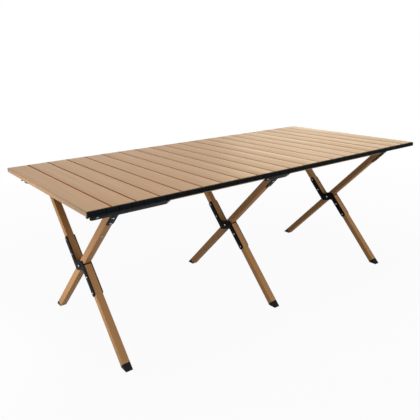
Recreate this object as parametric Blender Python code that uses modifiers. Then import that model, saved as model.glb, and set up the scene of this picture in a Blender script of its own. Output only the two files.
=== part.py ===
"""Roll-top folding camp table: twenty aluminium slats on three folding cross frames.

X runs along the table, Y across it and Z up, all in metres. The origin is on the
ground under the middle of the table. Each cross frame has one through leg and one
leg split in two halves, which fold flat against both sides of the through leg.
"""

import math

import bmesh
import bpy
from mathutils import Matrix, Vector

# Table top
TABLE_HEIGHT = 0.450
SLAT_COUNT = 20
SLAT_WIDTH = 0.056
SLAT_GAP = 0.004
SLAT_THICKNESS = 0.013
SLAT_LENGTH = 0.574
SLAT_WALL = 0.0012
SLAT_CORNER_RADIUS = 0.0012
SLAT_LIP_WIDTH = 0.006

# Hinged end caps of the slats
CAP_PLATE_THICKNESS = 0.002
CAP_THICKNESS = 0.006
CAP_KNUCKLE_WIDTH = 0.030
CAP_SEAM = 0.0008
CAP_SEAM_DEPTH = 0.0016
CAP_TOP_DROP = 0.0009
CAP_BOTTOM_RISE = 0.0005
CAP_SIDE_INSET = 0.0002
CAP_PLUG_DEPTH = 0.015
CAP_JOIN_DEPTH = 0.0006

# Cross frames
END_FRAME_X = 0.508
PIVOT_HEIGHT = 0.2105
THROUGH_LEG_SLOPE = math.radians(43.0)
TUBE_SIZE = 0.020
TUBE_WALL = 0.0012
TUBE_CORNER_RADIUS = 0.0015
FOLDED_GAP = 0.001

# Cross plates, which hold both halves of the split leg
PLATE_THICKNESS = 0.002
CROSS_PLATE_REACH = 0.102
CROSS_PLATE_SHOULDER = 0.0205
CROSS_PLATE_SKEW = 0.0005
CROSS_PLATE_END_RADIUS = 0.0065
CROSS_PLATE_CORNER_RADIUS = 0.006
CROSS_PLATE_FILLET = 0.005
PLATE_HOLE_CLEARANCE = 0.0003

# Pivot pin
PIN_RADIUS = 0.003
PIN_HEAD_RADIUS = 0.0055
PIN_HEAD_HEIGHT = 0.0025

# Rails
RAIL_SIZE = 0.015
RAIL_OVERHANG = 0.068
RAIL_MEETING_GAP = 0.0016

# Gusset plates, which join the legs to the rails
GUSSET_RAIL_DROP = 0.0103
GUSSET_TAB_LENGTH = 0.0465
GUSSET_OUTER_REACH = 0.0635
GUSSET_INNER_REACH = 0.144
GUSSET_MIDDLE_REACH = 0.0475
GUSSET_END_RADIUS = 0.0105
GUSSET_TAB_RADIUS = 0.008
GUSSET_FILLET = 0.007
GUSSET_SMALL_RADIUS = 0.003

# Feet and end plugs
FOOT_HEEL_HEIGHT = 0.0025
FOOT_EDGE_RADIUS = 0.0015
FOOT_PLUG_DEPTH = 0.018
END_PLUG_FLANGE = 0.003
END_PLUG_DEPTH = 0.012

# Fits
SEAT_GAP = 0.0003
PLUG_CLEARANCE = 0.0003
ARC_STEPS = 4
HOLE_SIDES = 20

# Worked out from the sizes above
SPLIT_LEG_SLOPE = math.pi / 2 - THROUGH_LEG_SLOPE
SPLIT_OFFSET = TUBE_SIZE + FOLDED_GAP
SLAT_PITCH = SLAT_WIDTH + SLAT_GAP
TABLE_LENGTH = SLAT_COUNT * SLAT_PITCH - SLAT_GAP
SLAT_UNDERSIDE = TABLE_HEIGHT - SLAT_THICKNESS
PIVOT = Vector((0.0, 0.0, PIVOT_HEIGHT))
FRAME_PLACES = (("left", -END_FRAME_X), ("middle", 0.0), ("right", END_FRAME_X))


def clear_scene():
    """Remove the objects that the scene holds before the table is built."""
    for thing in list(bpy.data.objects):
        bpy.data.objects.remove(thing, do_unlink=True)


def new_collection(name):
    """Add a collection to the scene."""
    collection = bpy.data.collections.new(name)
    bpy.context.scene.collection.children.link(collection)
    return collection


def new_material(name, colour, roughness, metallic):
    """Make a plain Principled material."""
    material = bpy.data.materials.new(name)
    material.use_nodes = True
    shader = material.node_tree.nodes["Principled BSDF"]
    shader.inputs["Base Color"].default_value = (*colour, 1.0)
    shader.inputs["Roughness"].default_value = roughness
    shader.inputs["Metallic"].default_value = metallic
    return material


def make_materials():
    """The five finishes of the table."""
    return {
        "slat": new_material("wood_finish_slat", (0.48, 0.29, 0.16), 0.45, 0.0),
        "leg": new_material("wood_finish_tube", (0.33, 0.17, 0.08), 0.40, 0.0),
        "plate": new_material("black_steel_plate", (0.012, 0.013, 0.016), 0.45, 0.6),
        "plastic": new_material("black_plastic", (0.014, 0.016, 0.019), 0.55, 0.0),
        "pin": new_material("steel_pin", (0.45, 0.46, 0.48), 0.30, 1.0),
    }


def rounded_outline(corners):
    """Turn corners of (x, y, radius) into outline points, with an arc at each radius."""
    points = []
    count = len(corners)
    for index, (x, y, radius) in enumerate(corners):
        corner = Vector((x, y))
        if radius <= 0.0:
            points.append(corner)
            continue
        before = (Vector(corners[index - 1][:2]) - corner).normalized()
        after = (Vector(corners[(index + 1) % count][:2]) - corner).normalized()
        half_angle = before.angle(after) / 2
        reach = radius / math.tan(half_angle)
        centre = corner + (before + after).normalized() * (radius / math.sin(half_angle))
        start = corner + before * reach - centre
        sweep = math.pi - 2 * half_angle
        if before.cross(after) > 0.0:
            sweep = -sweep
        for step in range(ARC_STEPS + 1):
            turn = Matrix.Rotation(sweep * step / ARC_STEPS, 2)
            points.append(centre + turn @ start)
    return points


def rectangle(width, height, radius=0.0, x=0.0, y=0.0):
    """Corners of a rectangle about (x, y)."""
    return [
        (x - width / 2, y - height / 2, radius),
        (x + width / 2, y - height / 2, radius),
        (x + width / 2, y + height / 2, radius),
        (x - width / 2, y + height / 2, radius),
    ]


def circle(radius):
    """Points of a round hole about the outline's origin."""
    turns = [2 * math.pi * side / HOLE_SIDES for side in range(HOLE_SIDES)]
    return [Vector((radius * math.cos(turn), radius * math.sin(turn))) for turn in turns]


def extruded(name, outlines, depth, matrix):
    """Extrude flat outlines, the first one outside and the rest holes, as a welded mesh."""
    curve = bpy.data.curves.new(name, "CURVE")
    curve.dimensions = "2D"
    curve.fill_mode = "BOTH"
    curve.extrude = depth / 2
    curve.resolution_u = 1
    curve.render_resolution_u = 0
    for outline in outlines:
        spline = curve.splines.new("POLY")
        spline.points.add(len(outline) - 1)
        for point, place in zip(spline.points, outline):
            point.co = (place.x, place.y, 0.0, 1.0)
        spline.use_cyclic_u = True
    holder = bpy.data.objects.new(name, curve)
    bpy.context.scene.collection.objects.link(holder)
    graph = bpy.context.evaluated_depsgraph_get()
    mesh = bpy.data.meshes.new_from_object(holder.evaluated_get(graph))
    bpy.data.objects.remove(holder, do_unlink=True)
    bpy.data.curves.remove(curve)
    shape = bmesh.new()
    shape.from_mesh(mesh)
    bmesh.ops.remove_doubles(shape, verts=shape.verts, dist=0.00001)
    bmesh.ops.recalc_face_normals(shape, faces=shape.faces)
    shape.to_mesh(mesh)
    shape.free()
    mesh.name = name
    thing = bpy.data.objects.new(name, mesh)
    thing.matrix_world = matrix
    return thing


def box(name, low, high):
    """A block between two corners."""
    low = Vector(low)
    high = Vector(high)
    mesh = bpy.data.meshes.new(name)
    shape = bmesh.new()
    bmesh.ops.create_cube(shape, size=1.0)
    bmesh.ops.scale(shape, vec=high - low, verts=shape.verts)
    bmesh.ops.translate(shape, vec=(low + high) / 2, verts=shape.verts)
    shape.to_mesh(mesh)
    shape.free()
    return bpy.data.objects.new(name, mesh)


def axes_matrix(x_axis, y_axis, place):
    """A placement whose local x and y axes point along the two directions."""
    x_axis = Vector(x_axis).normalized()
    y_axis = Vector(y_axis).normalized()
    turn = Matrix((x_axis, y_axis, x_axis.cross(y_axis))).transposed()
    return Matrix.Translation(place) @ turn.to_4x4()


def add_boolean(thing, tool, operation, cutters):
    """Cut or join a tool, which stays in the collection of cutters."""
    tool.name = f"{thing.name}_{operation.lower()}_{len(thing.modifiers) + 1}"
    tool.hide_render = True
    tool.display_type = "WIRE"
    cutters.objects.link(tool)
    modifier = thing.modifiers.new(tool.name, "BOOLEAN")
    modifier.operation = operation
    modifier.solver = "EXACT"
    modifier.object = tool


def joined_mesh(name, thing, tools):
    """The mesh of a thing joined with its tools, for pieces that share one shape."""
    scene = bpy.context.scene.collection
    scene.objects.link(thing)
    for tool in tools:
        scene.objects.link(tool)
        modifier = thing.modifiers.new(tool.name, "BOOLEAN")
        modifier.operation = "UNION"
        modifier.solver = "EXACT"
        modifier.object = tool
    graph = bpy.context.evaluated_depsgraph_get()
    mesh = bpy.data.meshes.new_from_object(thing.evaluated_get(graph))
    mesh.transform(thing.matrix_world)
    mesh.name = name
    for piece in (thing, *tools):
        bpy.data.objects.remove(piece, do_unlink=True)
    return mesh


def finish(thing, material, parts, pivot=None, smooth=False):
    """Give a part its material and put it in the table's collection, under its pivot."""
    thing.data.materials.clear()
    thing.data.materials.append(material)
    if smooth:
        thing.data.shade_smooth()
        thing.data.set_sharp_from_angle(angle=math.radians(30.0))
    if pivot:
        thing.parent = pivot
        thing.matrix_parent_inverse = Matrix.Translation(-pivot.location)
    parts.objects.link(thing)
    return thing


def new_pivot(name, parts):
    """An empty on the axis about which the two kinds of leg cross."""
    pivot = bpy.data.objects.new(name, None)
    pivot.empty_display_size = PIVOT_HEIGHT / 4
    pivot.location = PIVOT
    parts.objects.link(pivot)
    return pivot


def slat_profile():
    """Corners of the channel section, x across the slat and y up from its underside."""
    half = SLAT_WIDTH / 2
    inner = half - SLAT_WALL
    ceiling = SLAT_THICKNESS - SLAT_WALL
    corners = [
        (-half, 0.0, 0.0),
        (SLAT_LIP_WIDTH - half, 0.0, 0.0),
        (SLAT_LIP_WIDTH - half, SLAT_WALL, 0.0),
        (-inner, SLAT_WALL, 0.0),
        (-inner, ceiling, 0.0),
        (inner, ceiling, 0.0),
        (inner, SLAT_WALL, 0.0),
        (half - SLAT_LIP_WIDTH, SLAT_WALL, 0.0),
        (half - SLAT_LIP_WIDTH, 0.0, 0.0),
        (half, 0.0, 0.0),
        (half, SLAT_THICKNESS, SLAT_CORNER_RADIUS),
        (-half, SLAT_THICKNESS, SLAT_CORNER_RADIUS),
    ]
    return rounded_outline(corners)


def cap_plan(is_first, is_last):
    """Corners of an end cap seen from above, x along the table and y out from the slat."""
    edge = SLAT_WIDTH / 2 - CAP_SIDE_INSET
    seam = CAP_SEAM / 2
    knuckle = CAP_KNUCKLE_WIDTH / 2
    lap = SLAT_PITCH - knuckle - seam
    groove = CAP_THICKNESS - CAP_SEAM_DEPTH
    corners = [(-edge, 0.0), (edge, 0.0)]
    if is_last:
        corners += [(edge, CAP_THICKNESS)]
    else:
        corners += [
            (edge, CAP_PLATE_THICKNESS + SEAT_GAP),
            (lap, CAP_PLATE_THICKNESS + SEAT_GAP),
            (lap, CAP_THICKNESS),
            (knuckle + seam, CAP_THICKNESS),
            (knuckle + seam, groove),
            (knuckle - seam, groove),
            (knuckle - seam, CAP_THICKNESS),
        ]
    if is_first:
        corners += [(-edge, CAP_THICKNESS)]
    else:
        corners += [
            (seam - knuckle, CAP_THICKNESS),
            (seam - knuckle, CAP_PLATE_THICKNESS),
            (-edge, CAP_PLATE_THICKNESS),
        ]
    return [Vector(corner) for corner in corners]


def end_cap(side, is_first, is_last):
    """One end cap with its plug, about the middle of the slat's underside."""
    top = SLAT_THICKNESS - CAP_TOP_DROP
    bottom = CAP_BOTTOM_RISE
    end = side * SLAT_LENGTH / 2
    plan = [Vector((point.x, side * point.y)) for point in cap_plan(is_first, is_last)]
    place = Matrix.Translation((0.0, end, (top + bottom) / 2))
    cap = extruded("cap", [plan], top - bottom, place)
    inside = SLAT_WIDTH / 2 - SLAT_WALL - PLUG_CLEARANCE
    plug_ends = sorted((end + side * CAP_JOIN_DEPTH, end - side * CAP_PLUG_DEPTH))
    plug = box(
        "plug",
        (-inside, plug_ends[0], SLAT_WALL + PLUG_CLEARANCE),
        (inside, plug_ends[1], SLAT_THICKNESS - SLAT_WALL - PLUG_CLEARANCE),
    )
    mesh = joined_mesh("cap", cap, [plug])
    return bpy.data.objects.new("cap", mesh)


def slat_mesh(name, is_first=False, is_last=False):
    """A slat with both end caps, about the middle of its underside."""
    stand = axes_matrix((1.0, 0.0, 0.0), (0.0, 0.0, 1.0), (0.0, 0.0, 0.0))
    length = SLAT_LENGTH + 2 * CAP_JOIN_DEPTH
    channel = extruded("channel", [slat_profile()], length, stand)
    caps = [end_cap(side, is_first, is_last) for side in (-1, 1)]
    return joined_mesh(name, channel, caps)


def build_slats(materials, parts):
    """The twenty slats of the roll top, each hinged to the one before at its origin."""
    meshes = {
        "first": slat_mesh("slat_first", is_first=True),
        "middle": slat_mesh("slat_middle"),
        "last": slat_mesh("slat_last", is_last=True),
    }
    hinge = Vector((-SLAT_PITCH / 2, 0.0, SLAT_THICKNESS))
    for mesh in meshes.values():
        mesh.transform(Matrix.Translation(-hinge))
    start = -TABLE_LENGTH / 2 + SLAT_WIDTH / 2
    before = None
    for index in range(SLAT_COUNT):
        kind = "first" if index == 0 else "last" if index == SLAT_COUNT - 1 else "middle"
        slat = bpy.data.objects.new(f"slat_{index + 1:02d}", meshes[kind])
        if before:
            slat.parent = before
            slat.location = (SLAT_PITCH, 0.0, 0.0)
        else:
            slat.location = Vector((start, 0.0, SLAT_UNDERSIDE)) + hinge
        before = finish(slat, materials["slat"], parts)


def through_directions():
    """The through leg's direction up from the pivot, and the direction out of its lower face."""
    slope = THROUGH_LEG_SLOPE
    up = Vector((0.0, -math.cos(slope), math.sin(slope)))
    out = Vector((0.0, -math.sin(slope), -math.cos(slope)))
    return up, out


def split_directions():
    """The split leg's direction up from the pivot, and the direction out of its lower face."""
    slope = SPLIT_LEG_SLOPE
    up = Vector((0.0, math.cos(slope), math.sin(slope)))
    out = Vector((0.0, math.sin(slope), -math.cos(slope)))
    return up, out


def rail_reach(up, out, leg_offset):
    """How far up its leg a rail lies, so that its top edge meets the underside of the slats."""
    half_diagonal = RAIL_SIZE / 2 * (abs(up.z) + abs(out.z))
    height = SLAT_UNDERSIDE - SEAT_GAP - half_diagonal
    rail_out = leg_offset + (TUBE_SIZE - RAIL_SIZE) / 2
    return (height - PIVOT_HEIGHT - rail_out * out.z) / up.z


def ground_reach(up, toe_z, offset):
    """How far down its leg the ground lies, for a line offset towards the toe."""
    return (PIVOT_HEIGHT + offset * toe_z) / up.z


def tube(name, x, direction, start, end, offset, across):
    """A square tube from start to end along a direction from the pivot, moved across by offset."""
    outer = rounded_outline(rectangle(TUBE_SIZE, TUBE_SIZE, TUBE_CORNER_RADIUS))
    bore = TUBE_SIZE - 2 * TUBE_WALL
    inner = [Vector(corner[:2]) for corner in rectangle(bore, bore)]
    centre = PIVOT + direction * (start + end) / 2 + across * offset
    centre.x = x
    side = Vector((0.0, direction.z, -direction.y))
    matrix = axes_matrix((1.0, 0.0, 0.0), side, centre)
    return extruded(name, [outer, inner], end - start, matrix)


def build_through_leg(label, x, pivot, materials, parts, cutters):
    """The leg that runs in one piece from the near rail to the far foot."""
    up, out = through_directions()
    top = rail_reach(up, out, 0.0) - RAIL_SIZE / 2 - SEAT_GAP
    toe_z = -out.z
    bottom = ground_reach(up, toe_z, -TUBE_SIZE / 2) - FOOT_HEEL_HEIGHT / up.z
    leg = tube(f"through_leg_{label}", x, up, -bottom, top, 0.0, out)
    hole_depth = TUBE_SIZE + 4 * TUBE_WALL
    turn = axes_matrix((0.0, 1.0, 0.0), (0.0, 0.0, 1.0), (x, 0.0, PIVOT_HEIGHT))
    hole = extruded("hole", [circle(PIN_RADIUS + PLATE_HOLE_CLEARANCE)], hole_depth, turn)
    add_boolean(leg, hole, "DIFFERENCE", cutters)
    finish(leg, materials["leg"], parts, pivot)
    foot = build_foot(f"far_foot_{label}", x, -up, -out, 0.0, bottom, cutters)
    finish(foot, materials["plastic"], parts, pivot)


def build_split_leg(label, x, pivot, materials, parts, cutters):
    """The two halves of the split leg, their end plugs and the near foot."""
    up, out = split_directions()
    inner_end = TUBE_SIZE / 2 + SEAT_GAP + END_PLUG_FLANGE + SEAT_GAP
    top = rail_reach(up, out, SPLIT_OFFSET) - RAIL_SIZE / 2 - SEAT_GAP
    bottom = ground_reach(up, -out.z, SPLIT_OFFSET - TUBE_SIZE / 2) - FOOT_HEEL_HEIGHT / up.z
    upper = tube(f"upper_half_leg_{label}", x, up, inner_end, top, SPLIT_OFFSET, out)
    finish(upper, materials["leg"], parts, pivot)
    lower = tube(f"lower_half_leg_{label}", x, -up, inner_end, bottom, SPLIT_OFFSET, -out)
    finish(lower, materials["leg"], parts, pivot)
    for half, direction, across in (("upper", up, out), ("lower", -up, -out)):
        plug = build_end_plug(f"{half}_end_plug_{label}", x, direction, across, cutters)
        finish(plug, materials["plastic"], parts, pivot)
    foot = build_foot(f"near_foot_{label}", x, -up, -out, SPLIT_OFFSET, bottom, cutters)
    finish(foot, materials["plastic"], parts, pivot)


def plug_block(direction, across, x, start, end, offset):
    """The square plug that slides into a tube."""
    side = TUBE_SIZE - 2 * TUBE_WALL - 2 * PLUG_CLEARANCE
    outline = [Vector(corner[:2]) for corner in rectangle(side, side)]
    centre = PIVOT + direction * (start + end) / 2 + across * offset
    centre.x = x
    turned = Vector((0.0, direction.z, -direction.y))
    matrix = axes_matrix((1.0, 0.0, 0.0), turned, centre)
    return extruded("plug", [outline], end - start, matrix)


def build_foot(name, x, down, toe, offset, tube_end, cutters):
    """A wedge foot, flat on the ground, with its plug in the tube."""
    half = TUBE_SIZE / 2
    heel = offset - half
    tip = offset + half
    slope_z = -down.z
    top = tube_end + SEAT_GAP
    heel_end = (PIVOT_HEIGHT + heel * toe.z) / slope_z
    tip_end = (PIVOT_HEIGHT + tip * toe.z) / slope_z
    outline = rounded_outline(
        [
            (top, heel, 0.0),
            (top, tip, 0.0),
            (tip_end, tip, FOOT_EDGE_RADIUS),
            (heel_end, heel, FOOT_EDGE_RADIUS),
        ]
    )
    centre = PIVOT.copy()
    centre.x = x
    matrix = axes_matrix(down, toe, centre)
    foot = extruded(name, [outline], TUBE_SIZE, matrix)
    plug = plug_block(down, toe, x, tube_end - FOOT_PLUG_DEPTH, top + SEAT_GAP, offset)
    add_boolean(foot, plug, "UNION", cutters)
    return foot


def build_end_plug(name, x, direction, across, cutters):
    """The stop at the inner end of a half leg, which meets the side of the through leg."""
    start = TUBE_SIZE / 2 + SEAT_GAP
    end = start + END_PLUG_FLANGE
    outline = rounded_outline(rectangle(TUBE_SIZE, TUBE_SIZE, TUBE_CORNER_RADIUS))
    centre = PIVOT + direction * (start + end) / 2 + across * SPLIT_OFFSET
    centre.x = x
    turned = Vector((0.0, direction.z, -direction.y))
    matrix = axes_matrix((1.0, 0.0, 0.0), turned, centre)
    flange = extruded(name, [outline], END_PLUG_FLANGE, matrix)
    plug = plug_block(direction, across, x, end - SEAT_GAP, end + END_PLUG_DEPTH, SPLIT_OFFSET)
    add_boolean(flange, plug, "UNION", cutters)
    return flange


def cross_plate_outline():
    """The bent plate: two arms along the half legs, joined across the through leg."""
    low = SPLIT_OFFSET - TUBE_SIZE / 2
    high = SPLIT_OFFSET + TUBE_SIZE / 2
    arm = [
        (CROSS_PLATE_REACH, high, CROSS_PLATE_END_RADIUS),
        (CROSS_PLATE_REACH, low, CROSS_PLATE_END_RADIUS),
        (CROSS_PLATE_SHOULDER, low, CROSS_PLATE_FILLET),
        (-CROSS_PLATE_SKEW, -high, CROSS_PLATE_CORNER_RADIUS),
    ]
    other_arm = [(-x, -y, radius) for x, y, radius in arm]
    return rounded_outline(arm + other_arm)


def build_cross_plates(label, x, pivot, materials, parts):
    """The two plates that carry the halves of the split leg and turn on the pivot pin."""
    up, out = split_directions()
    outlines = [cross_plate_outline(), circle(PIN_RADIUS + PLATE_HOLE_CLEARANCE)]
    reach = TUBE_SIZE / 2 + SEAT_GAP + PLATE_THICKNESS / 2
    for side, sign in (("outer", -1), ("inner", 1)):
        centre = PIVOT + Vector((x + sign * reach, 0.0, 0.0))
        matrix = axes_matrix(-up, -out, centre)
        plate = extruded(f"{side}_cross_plate_{label}", outlines, PLATE_THICKNESS, matrix)
        finish(plate, materials["plate"], parts, pivot)


def build_pivot_pin(label, x, pivot, materials, parts):
    """The headed pin through both cross plates and the through leg."""
    inner = TUBE_SIZE / 2 + SEAT_GAP + PLATE_THICKNESS + SEAT_GAP
    outer = inner + PIN_HEAD_HEIGHT
    rim = inner + PIN_HEAD_HEIGHT * 0.4
    top_half = [
        (0.0, outer),
        (PIN_HEAD_RADIUS * 0.55, inner + PIN_HEAD_HEIGHT * 0.85),
        (PIN_HEAD_RADIUS, rim),
        (PIN_HEAD_RADIUS, inner),
        (PIN_RADIUS, inner),
    ]
    profile = top_half + [(radius, -height) for radius, height in reversed(top_half)]
    mesh = bpy.data.meshes.new(f"pivot_pin_{label}")
    mesh.from_pydata(
        [(radius, 0.0, height) for radius, height in profile],
        [(index, index + 1) for index in range(len(profile) - 1)],
        [],
    )
    pin = bpy.data.objects.new(f"pivot_pin_{label}", mesh)
    pin.rotation_euler = (0.0, math.pi / 2, 0.0)
    pin.location = (x, 0.0, PIVOT_HEIGHT)
    screw = pin.modifiers.new("turned", "SCREW")
    screw.axis = "Z"
    screw.steps = HOLE_SIDES
    screw.render_steps = HOLE_SIDES
    screw.use_merge_vertices = True
    screw.merge_threshold = 0.00001
    finish(pin, materials["pin"], parts, pivot, smooth=True)


def gusset_outline(rail_centre, outer_reach, inner_reach):
    """A plate with a tab down the leg and two arms along the rail, x along the table."""
    low = rail_centre - RAIL_SIZE / 2 - GUSSET_RAIL_DROP
    high = rail_centre + RAIL_SIZE / 2
    tab_end = low - GUSSET_TAB_LENGTH
    half = TUBE_SIZE / 2
    if outer_reach <= half and inner_reach <= half:
        corners = [
            (-half, tab_end, GUSSET_TAB_RADIUS),
            (half, tab_end, GUSSET_TAB_RADIUS),
            (half, high, GUSSET_SMALL_RADIUS),
            (-half, high, GUSSET_SMALL_RADIUS),
        ]
        return rounded_outline(corners)
    corners = [
        (-half, tab_end, GUSSET_TAB_RADIUS),
        (half, tab_end, GUSSET_TAB_RADIUS),
        (half, low, GUSSET_SMALL_RADIUS),
        (inner_reach, low, GUSSET_END_RADIUS),
        (inner_reach, high, GUSSET_END_RADIUS),
        (-outer_reach, high, GUSSET_END_RADIUS),
        (-outer_reach, low, GUSSET_END_RADIUS),
        (-half, low, GUSSET_FILLET),
    ]
    return rounded_outline(corners)


def build_gussets(pivots, materials, parts):
    """The plates that fasten each leg to its rail, on the outer faces of both."""
    reaches = {
        "left": (GUSSET_OUTER_REACH, GUSSET_INNER_REACH),
        "middle": (GUSSET_MIDDLE_REACH, GUSSET_MIDDLE_REACH),
        "right": (TUBE_SIZE / 2, TUBE_SIZE / 2),
    }
    sides = (("near", through_directions(), 0.0), ("far", split_directions(), SPLIT_OFFSET))
    for side, (up, out), offset in sides:
        rail_centre = rail_reach(up, out, offset)
        stand_off = offset + TUBE_SIZE / 2 + SEAT_GAP + PLATE_THICKNESS / 2
        for label, x in FRAME_PLACES:
            outline = gusset_outline(rail_centre, *reaches[label])
            centre = PIVOT + out * stand_off + Vector((x, 0.0, 0.0))
            matrix = axes_matrix((1.0, 0.0, 0.0), up, centre)
            name = f"{side}_gusset_{label}"
            plate = extruded(name, [outline], PLATE_THICKNESS, matrix)
            finish(plate, materials["plate"], parts, pivots[side])


def build_rails(pivots, materials, parts):
    """The four rails under the slats, two along each side, which meet over the middle frame."""
    outer = rounded_outline(rectangle(RAIL_SIZE, RAIL_SIZE, TUBE_CORNER_RADIUS))
    bore = RAIL_SIZE - 2 * TUBE_WALL
    inner = [Vector(corner[:2]) for corner in rectangle(bore, bore)]
    spans = (
        ("left", -END_FRAME_X - RAIL_OVERHANG, -RAIL_MEETING_GAP / 2),
        ("right", RAIL_MEETING_GAP / 2, END_FRAME_X + TUBE_SIZE / 2),
    )
    sides = (("near", through_directions(), 0.0), ("far", split_directions(), SPLIT_OFFSET))
    for side, (up, out), offset in sides:
        rail_out = offset + (TUBE_SIZE - RAIL_SIZE) / 2
        section = PIVOT + up * rail_reach(up, out, offset) + out * rail_out
        for label, start, end in spans:
            centre = section + Vector(((start + end) / 2, 0.0, 0.0))
            matrix = axes_matrix(up, Vector((1.0, 0.0, 0.0)).cross(up), centre)
            name = f"{side}_rail_{label}"
            rail = extruded(name, [outer, inner], end - start, matrix)
            finish(rail, materials["leg"], parts, pivots[side])


def main():
    """Build the table."""
    clear_scene()
    parts = new_collection("folding_camp_table")
    cutters = new_collection("cutters")
    materials = make_materials()
    through_pivot = new_pivot("through_leg_pivot", parts)
    split_pivot = new_pivot("split_leg_pivot", parts)
    pivots = {"near": through_pivot, "far": split_pivot}
    build_slats(materials, parts)
    build_rails(pivots, materials, parts)
    build_gussets(pivots, materials, parts)
    for label, x in FRAME_PLACES:
        build_through_leg(label, x, through_pivot, materials, parts, cutters)
        build_split_leg(label, x, split_pivot, materials, parts, cutters)
        build_cross_plates(label, x, split_pivot, materials, parts)
        build_pivot_pin(label, x, through_pivot, materials, parts)


main()
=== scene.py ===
"""Roll-top folding camp table, dressed for a studio picture."""

import math

import bmesh
import bpy
from bpy.props import FloatProperty, FloatVectorProperty, PointerProperty
from mathutils import Matrix, Vector


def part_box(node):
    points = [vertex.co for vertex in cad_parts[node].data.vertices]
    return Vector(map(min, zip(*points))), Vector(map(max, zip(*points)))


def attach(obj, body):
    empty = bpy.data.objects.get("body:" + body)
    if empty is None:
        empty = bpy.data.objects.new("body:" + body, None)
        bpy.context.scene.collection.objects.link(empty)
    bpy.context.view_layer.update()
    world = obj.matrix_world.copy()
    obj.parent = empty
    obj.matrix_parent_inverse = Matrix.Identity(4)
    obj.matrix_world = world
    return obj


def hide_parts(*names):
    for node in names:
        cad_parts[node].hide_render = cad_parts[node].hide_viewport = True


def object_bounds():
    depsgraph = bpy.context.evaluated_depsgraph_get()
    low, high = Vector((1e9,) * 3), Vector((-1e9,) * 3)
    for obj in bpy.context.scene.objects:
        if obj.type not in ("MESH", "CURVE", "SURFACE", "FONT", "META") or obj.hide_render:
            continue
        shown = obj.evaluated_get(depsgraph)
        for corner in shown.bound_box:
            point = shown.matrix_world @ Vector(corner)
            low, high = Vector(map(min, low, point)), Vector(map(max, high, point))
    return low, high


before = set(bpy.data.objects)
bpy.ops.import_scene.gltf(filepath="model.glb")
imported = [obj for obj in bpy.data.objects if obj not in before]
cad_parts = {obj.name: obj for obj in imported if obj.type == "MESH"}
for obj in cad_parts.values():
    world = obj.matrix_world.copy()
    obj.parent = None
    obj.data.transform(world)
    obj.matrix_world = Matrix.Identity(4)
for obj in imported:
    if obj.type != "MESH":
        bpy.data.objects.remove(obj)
CAD_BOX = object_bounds()

bl_info = {
    "name": "Roll-top folding camp table",
    "version": (1, 0, 0),
    "blender": (4, 5, 0),
    "location": "3D View > Sidebar > Camp Table",
    "description": "Builds the slats, legs, plates and fittings of a folding camp table",
    "category": "Object",
}

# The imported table's layout, in metres
SLAT_COUNT = sum(1 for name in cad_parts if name.startswith("slat_"))
FIRST_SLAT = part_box("slat_01")
LAST_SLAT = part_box(f"slat_{SLAT_COUNT:02d}")
TABLE_TOP = FIRST_SLAT[1].z
SLAT_WIDTH = LAST_SLAT[1].x - LAST_SLAT[0].x
SLAT_PITCH = (LAST_SLAT[0].x - FIRST_SLAT[0].x) / (SLAT_COUNT - 1)
TABLE_HALF_DEPTH = LAST_SLAT[1].y
SLAT_UNDERSIDE = TABLE_TOP - 0.013
CAP_DEPTH = 0.006
CAP_LOW = 0.0005
CAP_HIGH = 0.0121
SLAT_END = TABLE_HALF_DEPTH - CAP_DEPTH
PIVOT = Vector((0.0, 0.0, 0.2105))
TUBE = 0.020
HALF_TUBE = TUBE / 2
RAIL = 0.015
GAP = 0.0003
STOP = 0.003
PLATE = 0.002
WASHER = 0.0009
FRAME_X = {"left": -0.508, "middle": 0.0, "right": 0.508}

# Each kind of leg: its slope, its tube's distance from the pivot, and the body it rides on
THROUGH_SLOPE = math.radians(43.0)
SLOPE = {"through": THROUGH_SLOPE, "split": math.pi / 2 - THROUGH_SLOPE}
SPLIT_OFFSET = TUBE + 0.001
HEAD_OFFSET = {"through": 0.0, "split": SPLIT_OFFSET}
LEG_BODY = {"through": "through_leg_frame", "split": "split_leg_frame"}
SPLIT_BODY = LEG_BODY["split"]

# Each rail's side, the kind of leg that carries it, and which way that leg's outer face points
RAIL_SIDES = (("near", "through", -1.0), ("far", "split", 1.0))

# How far each frame's gussets reach along the rails, outwards and inwards, and their arms' rivets
GUSSET_REACH = {"left": (0.0635, 0.144), "middle": (0.0475, 0.0475), "right": (0.01, 0.01)}
ARM_RIVETS = {"left": (-0.0455, 0.139), "middle": (-0.038, 0.038), "right": ()}
GUSSET_DROP = 0.0103
TAB_LENGTH = 0.0465

# How far up or down a split leg the cross plates end and have their rivets
CROSS_REACH = 0.102
CROSS_RIVETS = ((0.093, 1), (0.046, 1), (-0.046, -1), (-0.093, -1))

# The wood film's pattern: where each piece's share of it lies, its warmer tint, and the redder tint of
# painted bounce light on the slats' sides in the gaps
FILM_SHIFT = (0.0731, 0.1377, 0.419)
WARM_TINT = (1.05, 0.98, 0.93)
# Painted bounce light: the film on the slats' sides in the gaps is made brighter and redder, standing
# in for light bounced between neighbouring slats
PAINTED_GAP_BOUNCE_TINT = (1.75, 1.35, 1.10)
FIRST_LEG_SEED = 31
FIRST_RAIL_SEED = 61

# Every lamp's setting, place, aim, size and colour
WHITE = (1.0, 1.0, 1.0)
LAMPS = (
    ("overhead", (0.0, 0.2, 3.0), (0.0, 0.0, 0.4), 2.6, WHITE),
    ("front", (0.8, -3.2, 2.0), (-0.1, -0.1, 0.2), 2.4, WHITE),
    ("low", (-0.2, -3.2, 0.9), (-0.1, -0.1, 0.2), 1.4, WHITE),
    ("side", (-1.05, 0.10, 0.13), (-0.45, 0.0, 0.18), 0.12, WHITE),
    ("back", (3.2, 2.4, 0.95), (0.35, 0.1, 0.45), 2.2, (1.0, 0.92, 0.66)),
)

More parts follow.
